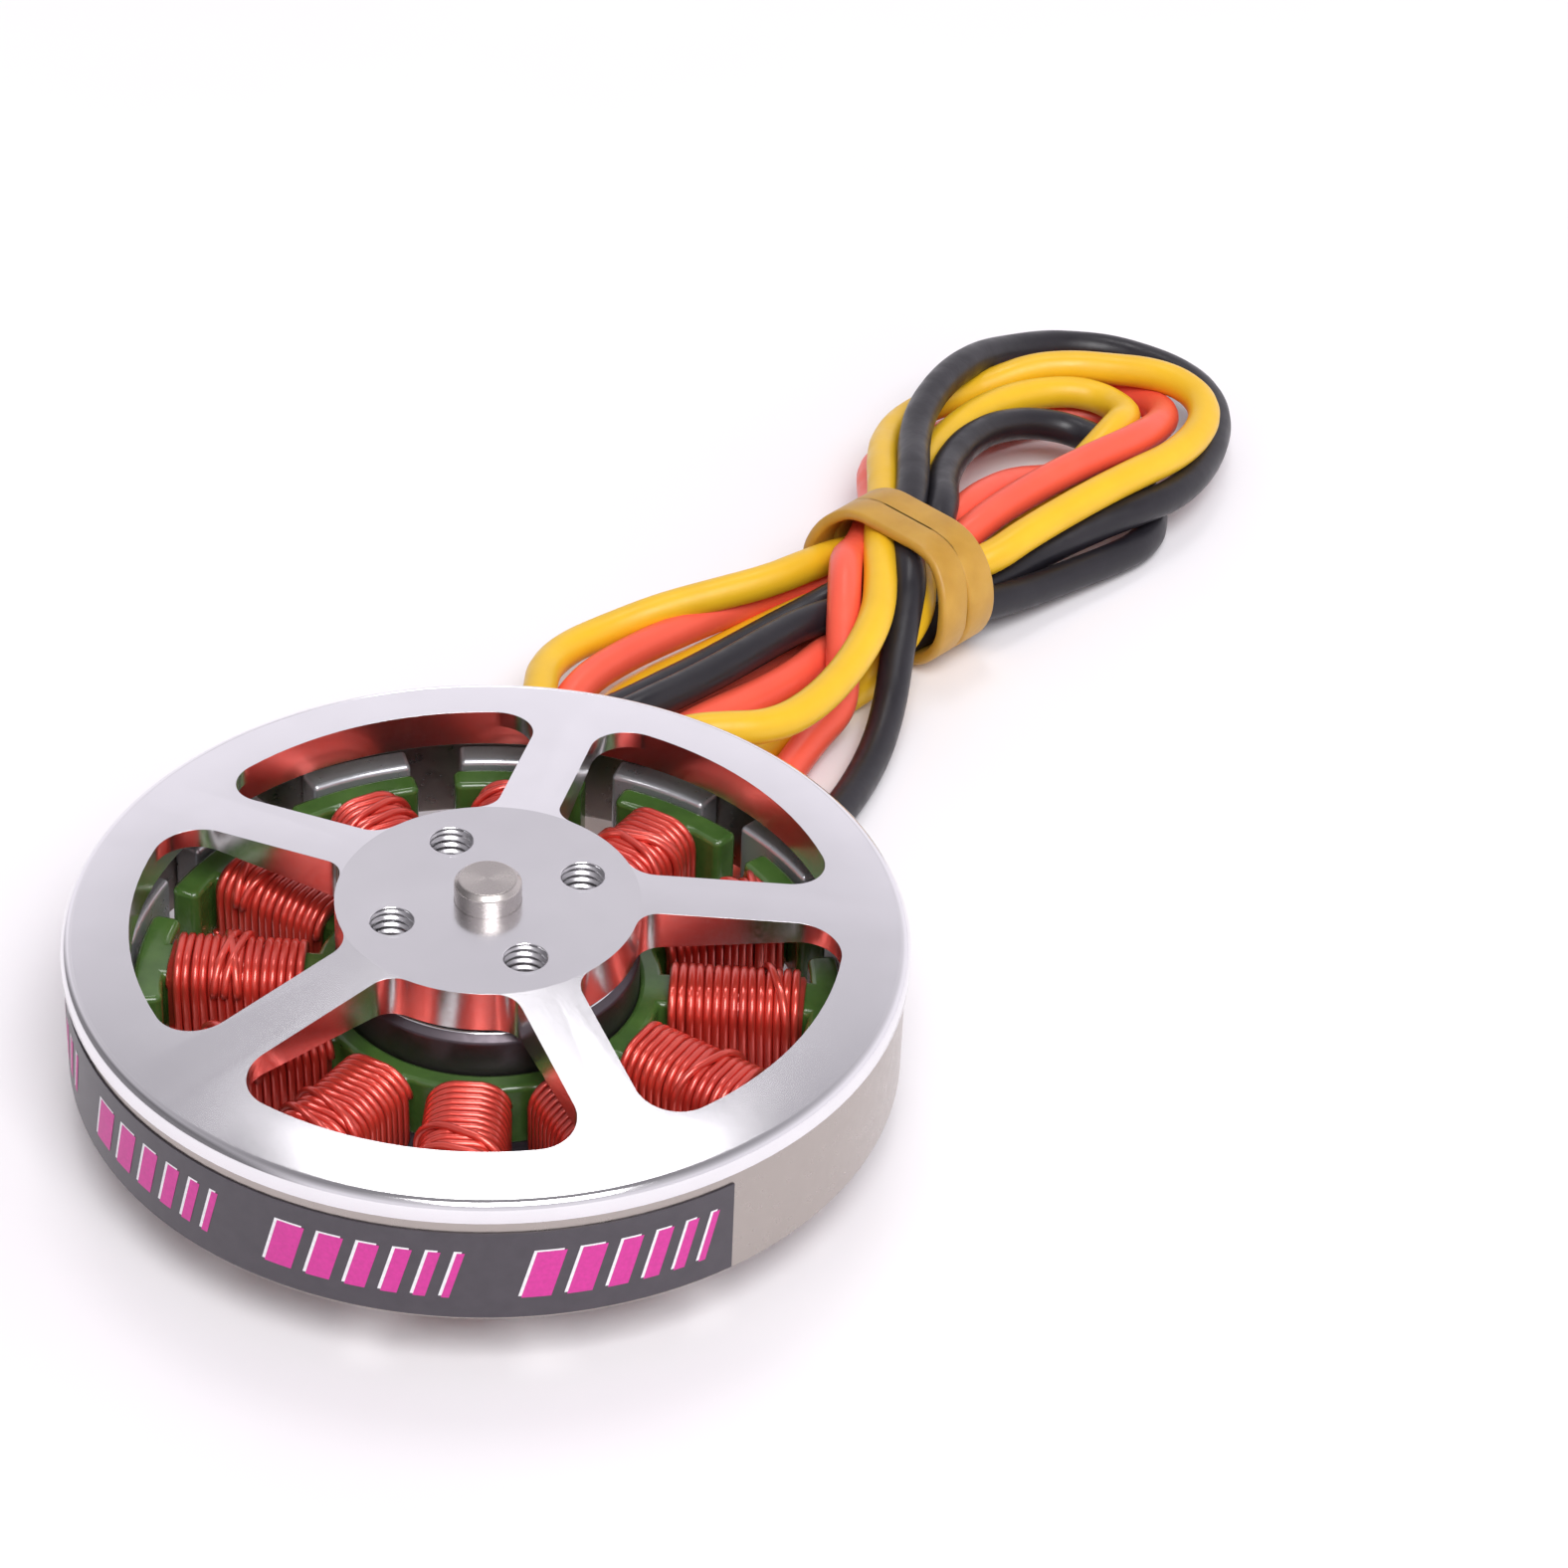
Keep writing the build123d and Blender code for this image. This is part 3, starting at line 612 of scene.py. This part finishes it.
thread_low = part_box("shaft_shim")[1].z + 0.8 * MM
thread_high = HUB_TOP - 0.05 * MM
thread_grids = [thread_grid(center, thread_low, thread_high) for center in hole_centers]
thread_faces = grid_faces(*thread_grids[0].shape[:2], close_rows=True)[:, ::-1]
threads = grids_object("hub_threads", thread_grids, thread_faces)
smooth(threads.data)
wear(threads, metal("cut_thread", (0.62, 0.61, 0.63), 0.30))
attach(threads, "rotor")
print("thread volume, mm3:", round(outward_volume(threads.data) / MM**3, 2))

# %% Lips of the hub holes
LIP_SECTION = np.array([(1.30, -0.12), (1.30, -0.03), (1.335, 0.003), (1.58, 0.003), (1.58, -0.12)]) * MM
LIP_AROUND = 64


def hole_lip(center):
    """A flat washer over the thread's end: the section carried round the hole's own axis,
    point = center + radius (cos a, sin a), height above the hub's face."""
    angle = (np.arange(LIP_AROUND) * 2 * np.pi / LIP_AROUND)[:, None]
    radius, up = LIP_SECTION.T
    x, y = center[0] + radius * np.cos(angle), center[1] + radius * np.sin(angle)
    return np.stack([x, y, np.broadcast_to(HUB_TOP + up, x.shape)], -1)


lips = [hole_lip(center) for center in hole_centers]
lip_faces = grid_faces(LIP_AROUND, len(LIP_SECTION), close_rows=True)
hole_lips = grids_object("hub_hole_lips", lips, lip_faces)
wear(hole_lips, aluminium)
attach(hole_lips, "rotor")
print("lips of the hub holes, mm3:", round(outward_volume(hole_lips.data) / MM**3, 3))

# %% Polished rim
SKIN = 0.008 * MM
CAP_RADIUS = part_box("bell_cap")[1].x
JOINT_Z = 11.4 * MM
RIM_TOP_Z = JOINT_Z + 1.3 * MM
RIM_ROUND = 0.7 * MM
RIM_INNER = 23.9 * MM
face_slope = (HUB_TOP - RIM_TOP_Z) / (CAP_RADIUS - HUB_FACE_RADIUS)
face_tilt = math.atan(face_slope)
round_r = CAP_RADIUS - RIM_ROUND
round_z = RIM_TOP_Z + RIM_ROUND * face_slope - RIM_ROUND / math.cos(face_tilt)
sweep = np.linspace(math.pi / 2 - face_tilt, 0, 18)
skin_round = RIM_ROUND + SKIN
rim_profile = (
    [(round_r + skin_round * math.cos(a), round_z + skin_round * math.sin(a)) for a in sweep]
    + [(CAP_RADIUS + SKIN, JOINT_Z + 0.14 * MM), (CAP_RADIUS - 0.03 * MM, JOINT_Z + 0.04 * MM)]
    + [(CAP_RADIUS - 0.11 * MM, JOINT_Z), (CAP_RADIUS - 0.5 * MM, JOINT_Z + 0.3 * MM)]
    + [(RIM_INNER, RIM_TOP_Z - 0.5 * MM), (round_r, RIM_TOP_Z + 0.02 * MM)]
)
rim = lathe("cap_polished_rim", rim_profile)
wear(rim, polished)
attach(rim, "rotor")
print("rim volume, mm3:", round(outward_volume(rim.data) / MM**3, 1))

# %% Ring, shaft and bearings
rounded("flux_ring", 0.10 * MM, "rotor", nickel_ring)
rounded("shaft", 0.05 * MM, "rotor", ground_steel)
for name, material in (
    ("shaft_shim", ground_steel), ("shaft_clip", spring_steel),
    ("lower_bearing_inner", bearing_steel), ("upper_bearing_inner", bearing_steel),
    ("lower_bearing_outer", bearing_steel), ("upper_bearing_outer", bearing_steel),
    ("lower_ball_set", bearing_steel), ("upper_ball_set", bearing_steel),
    ("lower_bearing_shields", bearing_steel), ("upper_bearing_shields", bearing_steel),
):
    wear(nodes[name], material)

# %% Magnets
MAGNETS = 14
for n in range(1, MAGNETS + 1):
    rounded(f"magnet_{n:02d}", 0.40 * MM, "rotor", magnet_finish, segments=3)
print("magnets rounded:", MAGNETS)

# %% [markdown]
# ## Stator and base
# The steel core is coated in green epoxy powder, thick enough to round its edges. The base is one
# aluminium part, black anodised, whose tube holds both bearings.

# %% Epoxy and anodising
epoxy, epoxy_shader = part_shader("green_epoxy", (0.055, 0.125, 0.025), 0.0, 0.25)
epoxy_colors = two_colors(epoxy, object_noise(epoxy, 2 * MM), (0.045, 0.105, 0.020), (0.070, 0.150, 0.030))
join(epoxy, epoxy_colors, epoxy_shader.inputs["Base Color"])
epoxy_shader.inputs["Coat Weight"].default_value = 0.5
epoxy_shader.inputs["Coat Roughness"].default_value = 0.12
add_bump(epoxy, epoxy_shader, object_noise(epoxy, 0.9 * MM), 0.05 * MM, 0.5)
rounded("stator_core", 0.32 * MM, "stator", epoxy, segments=3)

anodised = metal("black_anodising", (0.135, 0.115, 0.13), 0.46, 0.05, grain=0.4 * MM, bump=0.002 * MM)
rounded("mount_base", 0.10 * MM, "stator", anodised)

# %% Bright lip of the bearing tube
TUBE_TOP = 11.6 * MM
TUBE_RADIUS = 9.01 * MM
LIP_OUTER = TUBE_RADIUS - 0.47 * MM
LIP_WIDTH = 0.24 * MM
lip_profile = [
    (LIP_OUTER - LIP_WIDTH, TUBE_TOP - 0.15 * MM), (LIP_OUTER - LIP_WIDTH, TUBE_TOP + 0.01 * MM),
    (LIP_OUTER - LIP_WIDTH * 0.7, TUBE_TOP + 0.03 * MM),
    (LIP_OUTER - LIP_WIDTH * 0.3, TUBE_TOP + 0.03 * MM), (LIP_OUTER, TUBE_TOP - 0.01 * MM),
    (LIP_OUTER + 0.05 * MM, TUBE_TOP - 0.07 * MM),
    (LIP_OUTER, TUBE_TOP - 0.15 * MM),
]
lip = lathe("bearing_tube_lip", lip_profile, around=180)
wear(lip, polished)
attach(lip, "stator")
print("lip volume, mm3:", round(outward_volume(lip.data) / MM**3, 2))

# %% [markdown]
# ## Windings
# Each tooth carries two layers of enamelled wire, about 0.5 mm thick. One layer is a helix round
# an oval: it climbs one pitch along the tooth for each turn. A hand-wound coil is never perfect,
# so turns lean a little, and a few cross over the others near the outer end.

# %% Wire sizes
COILS = 12
COIL_TURN = 28.57
WIRE = 0.52 * MM
TURNS = 15
AROUND = 28
coil_low, coil_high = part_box("coil_04")
COIL_HALF_HEIGHT = (coil_high.z - coil_low.z) / 2
COIL_CENTER_Z = (coil_high.z + coil_low.z) / 2
COIL_HALF_WIDTH = 2.57 * MM
COIL_INNER, COIL_OUTER = 10.72 * MM, 19.0 * MM
COIL_CORNER = 2.0 * MM
COIL_AXIS = np.array([1.0, 0, 0])
WIRE_SIDES = 7
LAYER_STEP = 0.97 * WIRE
CROSSING_RISE = 0.62 * WIRE
SLEEVE_END = 0.2 * MM
dice = np.random.default_rng(12)


def wire_path(inset, first, last, turns, lean, wander):
    """A helix round the tooth along +X: an oval inset from the coil's outside, and along the
    tooth a steady climb, plus a lean (one side ahead of the other) and a wander by turn."""
    loop = oval(COIL_HALF_WIDTH - inset, COIL_HALF_HEIGHT - inset, COIL_CORNER - inset, AROUND)
    step = np.linalg.norm(np.diff(np.vstack([loop, loop[:1]]), axis=0), axis=1)
    share = np.concatenate([[0], np.cumsum(step)[:-1]]) / step.sum()
    turn = (np.arange(turns)[:, None] + share[None]).ravel()
    y, z = np.tile(loop[:, 0], turns), np.tile(loop[:, 1], turns)
    along = first + (last - first) * turn / turns
    knots = np.arange(turns + 2)
    along = along + np.interp(turn, knots, wander[: turns + 2]) * np.sin(2 * np.pi * turn)
    along = along + np.interp(turn, knots, lean[: turns + 2]) * y / COIL_HALF_WIDTH
    return np.column_stack([along, y, z + COIL_CENTER_Z])


def former():
    """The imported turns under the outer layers, as a closed oval sleeve: a flat section, 0.7
    wires thick, carried round the tooth."""
    rings = []
    for along, inset in ((COIL_INNER, 0.9), (COIL_OUTER, 0.9), (COIL_OUTER, 1.6), (COIL_INNER, 1.6)):
        inset = inset * WIRE
        loop = oval(COIL_HALF_WIDTH - inset, COIL_HALF_HEIGHT - inset, COIL_CORNER - inset, AROUND)
        side = SLEEVE_END if along == COIL_INNER else -SLEEVE_END
        x = np.full(AROUND, along + side)
        rings.append(np.column_stack([x, loop[:, 0], loop[:, 1] + COIL_CENTER_Z]))
    return np.stack(rings, axis=1)


# %% Enamelled wire
enamel, enamel_shader = part_shader("red_enamel", (0.74, 0.085, 0.060), 0.55, 0.30)
enamel_colors = two_colors(enamel, object_noise(enamel, 3 * MM), (0.66, 0.065, 0.048), (0.80, 0.105, 0.072))
join(enamel, enamel_colors, enamel_shader.inputs["Base Color"])
enamel_shader.inputs["Coat Weight"].default_value = 1.0
enamel_shader.inputs["Coat Roughness"].default_value = 0.16
enamel_shader.inputs["Coat Tint"].default_value = (1.0, 0.82, 0.78, 1)


# %% Wind the coils
def wind(n):
    """Two layers of turns and a few crossing strands, on one tooth."""
    half = WIRE / 2
    small = dice.uniform(-0.04, 0.04, TURNS + 2) * MM
    lean = dice.uniform(-0.07, 0.07, TURNS + 2) * MM
    outer = wire_path(half, COIL_INNER + half, COIL_OUTER - half, TURNS, lean, small)
    inner = wire_path(half + LAYER_STEP, COIL_OUTER - half, COIL_INNER + half, TURNS, small, small)
    paths = [outer, inner]
    for _ in range(dice.integers(1, 4)):
        middle = dice.uniform(14.6, 17.8) * MM
        slant = dice.choice([-1, 1]) * dice.uniform(0.5, 1.1) * MM
        slants = np.full(3, slant)
        crossing = wire_path(half - CROSSING_RISE, middle, middle + 0.3 * MM, 1, slants, small[:3])
        paths.append(crossing[: AROUND * 3 // 4])
    name = f"coil_{n:02d}_winding"
    piece = tubes_object(name, paths, half * 0.985, WIRE_SIDES, COIL_AXIS, former())
    place = turned(points_of(piece.data), COIL_TURN + (n - 1) * 360 / COILS)
    piece.data.vertices.foreach_set("co", place.ravel())
    piece.data.update()
    wear(piece, enamel)
    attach(piece, "stator")
    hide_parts(f"coil_{n:02d}")
    return len(piece.data.polygons)


print("faces in the windings:", sum(wind(n) for n in range(1, COILS + 1)))

# %% [markdown]
# ## Label
# A foil strip goes a little more than half way round the ring. It is charcoal with a row of
# slanted bars in magenta, edged in white: a plain pattern that says nothing.

# %% Label foil
foil, foil_shader = part_shader("charcoal_foil", (0.050, 0.043, 0.053), 0.0, 0.42)
foil_colors = two_colors(foil, object_noise(foil, 1.0 * MM), (0.046, 0.039, 0.049), (0.056, 0.048, 0.059))
join(foil, foil_colors, foil_shader.inputs["Base Color"])
foil_shader.inputs["Coat Weight"].default_value = 0.15
foil_shader.inputs["Coat Roughness"].default_value = 0.3
wear(nodes["label_band"], foil)

# %% Label bars
LABEL_RADIUS = -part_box("label_band")[0].x
LABEL_MIDDLE = (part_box("label_band")[0].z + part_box("label_band")[1].z) / 2
BAR_GROUPS = 106.0 + 34.5 * np.arange(6)
BAR_WIDTHS = np.array([1.7, 1.45, 1.2, 0.95, 0.7, 0.45]) * MM
BAR_GAP = 0.9 * MM
BAR_HEIGHT = 3.3 * MM
BAR_SLANT = 0.9 * MM
INK = 0.006 * MM


def bar_grids(radius, aside, up):
    """Slanted bars on the drum: a point's angle is its distance along the foil over the radius,
    and that distance grows by the slant from a bar's foot to its top."""
    across = np.linspace(0, 1, 4)[:, None]
    rise = np.linspace(-0.5, 0.5, 5)[None]
    starts = np.concatenate([[0], np.cumsum(BAR_WIDTHS + BAR_GAP)[:-1]])
    for group in np.radians(BAR_GROUPS):
        for start, width in zip(starts, BAR_WIDTHS):
            angle = group + (start + aside + width * across + BAR_SLANT * (rise + 0.5)) / radius
            z = np.broadcast_to(LABEL_MIDDLE + up + BAR_HEIGHT * rise, angle.shape)
            yield np.stack([radius * np.cos(angle), radius * np.sin(angle), z], -1)


def print_bars(name, color, radius, aside, up):
    """One ink of the label, as thin raised patches that ride on the rotor."""
    grids = list(bar_grids(radius, aside, up))
    rows, columns = grids[0].shape[:2]
    faces = grid_faces(rows, columns, close_columns=False)
    bars = grids_object(name, grids, faces)
    thicken = bars.modifiers.new("ink", "SOLIDIFY")
    thicken.thickness = INK
    ink, ink_shader = part_shader(name + "_ink", color, 0.0, 0.45)
    faint = tuple(c * 0.86 for c in color)
    join(ink, two_colors(ink, object_noise(ink, 0.25 * MM), faint, color), ink_shader.inputs["Base Color"])
    wear(bars, ink)
    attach(bars, "rotor")
    outwards = [round(v, 2) for v in bars.data.polygons[0].normal]
    print(name, len(grids), "bars, the first faces", outwards)


print_bars("label_bars_white", (0.85, 0.84, 0.86), LABEL_RADIUS + INK, -0.16 * MM, 0.12 * MM)
print_bars("label_bars_magenta", (0.64, 0.028, 0.30), LABEL_RADIUS + 2 * INK, 0.0, 0.0)

# %% Sleeves, tips and what is left
heat_shrink, shrink_shader = part_shader("heat_shrink", (0.02, 0.019, 0.021), 0.0, 0.55)
add_bump(heat_shrink, shrink_shader, object_noise(heat_shrink, 0.4 * MM), 0.03 * MM, 0.6)
for color in LEAD_ROUTES:
    wear(nodes["phase_sleeve_" + color], heat_shrink)
    wear(nodes["lead_tip_" + color], tinned)

# %% [markdown]
# ## Rubber band
# One band goes twice round the waist of the hank. Natural rubber is mustard, a little see-through
# at its edges and dusted dull. Each wrap is a flattened ribbon carried round an oval, and it bows
# where it was pulled over the strands.

# %% Rubber
rubber, rubber_shader = part_shader("natural_rubber", (0.53, 0.285, 0.034), 0.0, 0.42)
rubber_colors = two_colors(rubber, object_noise(rubber, 2.5 * MM), (0.46, 0.24, 0.026), (0.56, 0.31, 0.044))
join(rubber, rubber_colors, rubber_shader.inputs["Base Color"])
rubber_shader.inputs["Subsurface Weight"].default_value = 0.25
rubber_shader.inputs["Subsurface Radius"].default_value = (0.9 * MM, 0.5 * MM, 0.15 * MM)
add_bump(rubber, rubber_shader, object_noise(rubber, 0.7 * MM), 0.04 * MM, 0.5)

# %% Band wraps
WAIST = np.array([24.1, 50.8, 4.6]) * MM
WAIST_DIRECTION = math.radians(48.0)
BUNDLE_HALF_WIDTH, BUNDLE_HALF_HEIGHT = 5.8 * MM, 3.8 * MM
BAND_THICKNESS = 0.8 * MM
BAND_WRAPS = ((-1.35 * MM, 2.5 * MM, 1.2 * MM), (1.35 * MM, 2.6 * MM, 0.35 * MM))
UP = np.array([0, 0, 1.0])
along_bundle = np.array([math.cos(WAIST_DIRECTION), math.sin(WAIST_DIRECTION), 0])
across_bundle = np.array([-math.sin(WAIST_DIRECTION), math.cos(WAIST_DIRECTION), 0])


def band_wrap(middle, width, bow, around=96, section=16):
    """A ribbon round the bundle. Its middle line is an oval in the plane across the bundle,
    and it leans along the bundle by the bow at its top. Its section is a flat oval."""
    half = BAND_THICKNESS / 2
    tall = BUNDLE_HALF_HEIGHT + half
    loop = oval(BUNDLE_HALF_WIDTH + half, tall, tall, around)
    chord = np.roll(loop, -1, 0) - np.roll(loop, 1, 0)
    outward = unit(np.column_stack([chord[:, 1], -chord[:, 0]]))
    height = loop[:, 1] / BUNDLE_HALF_HEIGHT
    offset = middle + bow * np.clip(height, 0, 1) ** 1.5
    flat = oval(width / 2, half, half * 0.9, section)
    spot = WAIST + loop[:, :1] * across_bundle + loop[:, 1:] * UP + offset[:, None] * along_bundle
    out = outward[:, :1] * across_bundle + outward[:, 1:] * UP
    return spot[:, None] + flat[None, :, :1] * along_bundle + flat[None, :, 1:] * out[:, None]


wraps = [band_wrap(*wrap) for wrap in BAND_WRAPS]
band = grids_object("rubber_band_wraps", wraps, grid_faces(*wraps[0].shape[:2], close_rows=True))
smooth(band.data)
wear(band, rubber)
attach(band, "stator")
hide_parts("rubber_band")
print("band faces:", len(band.data.polygons))
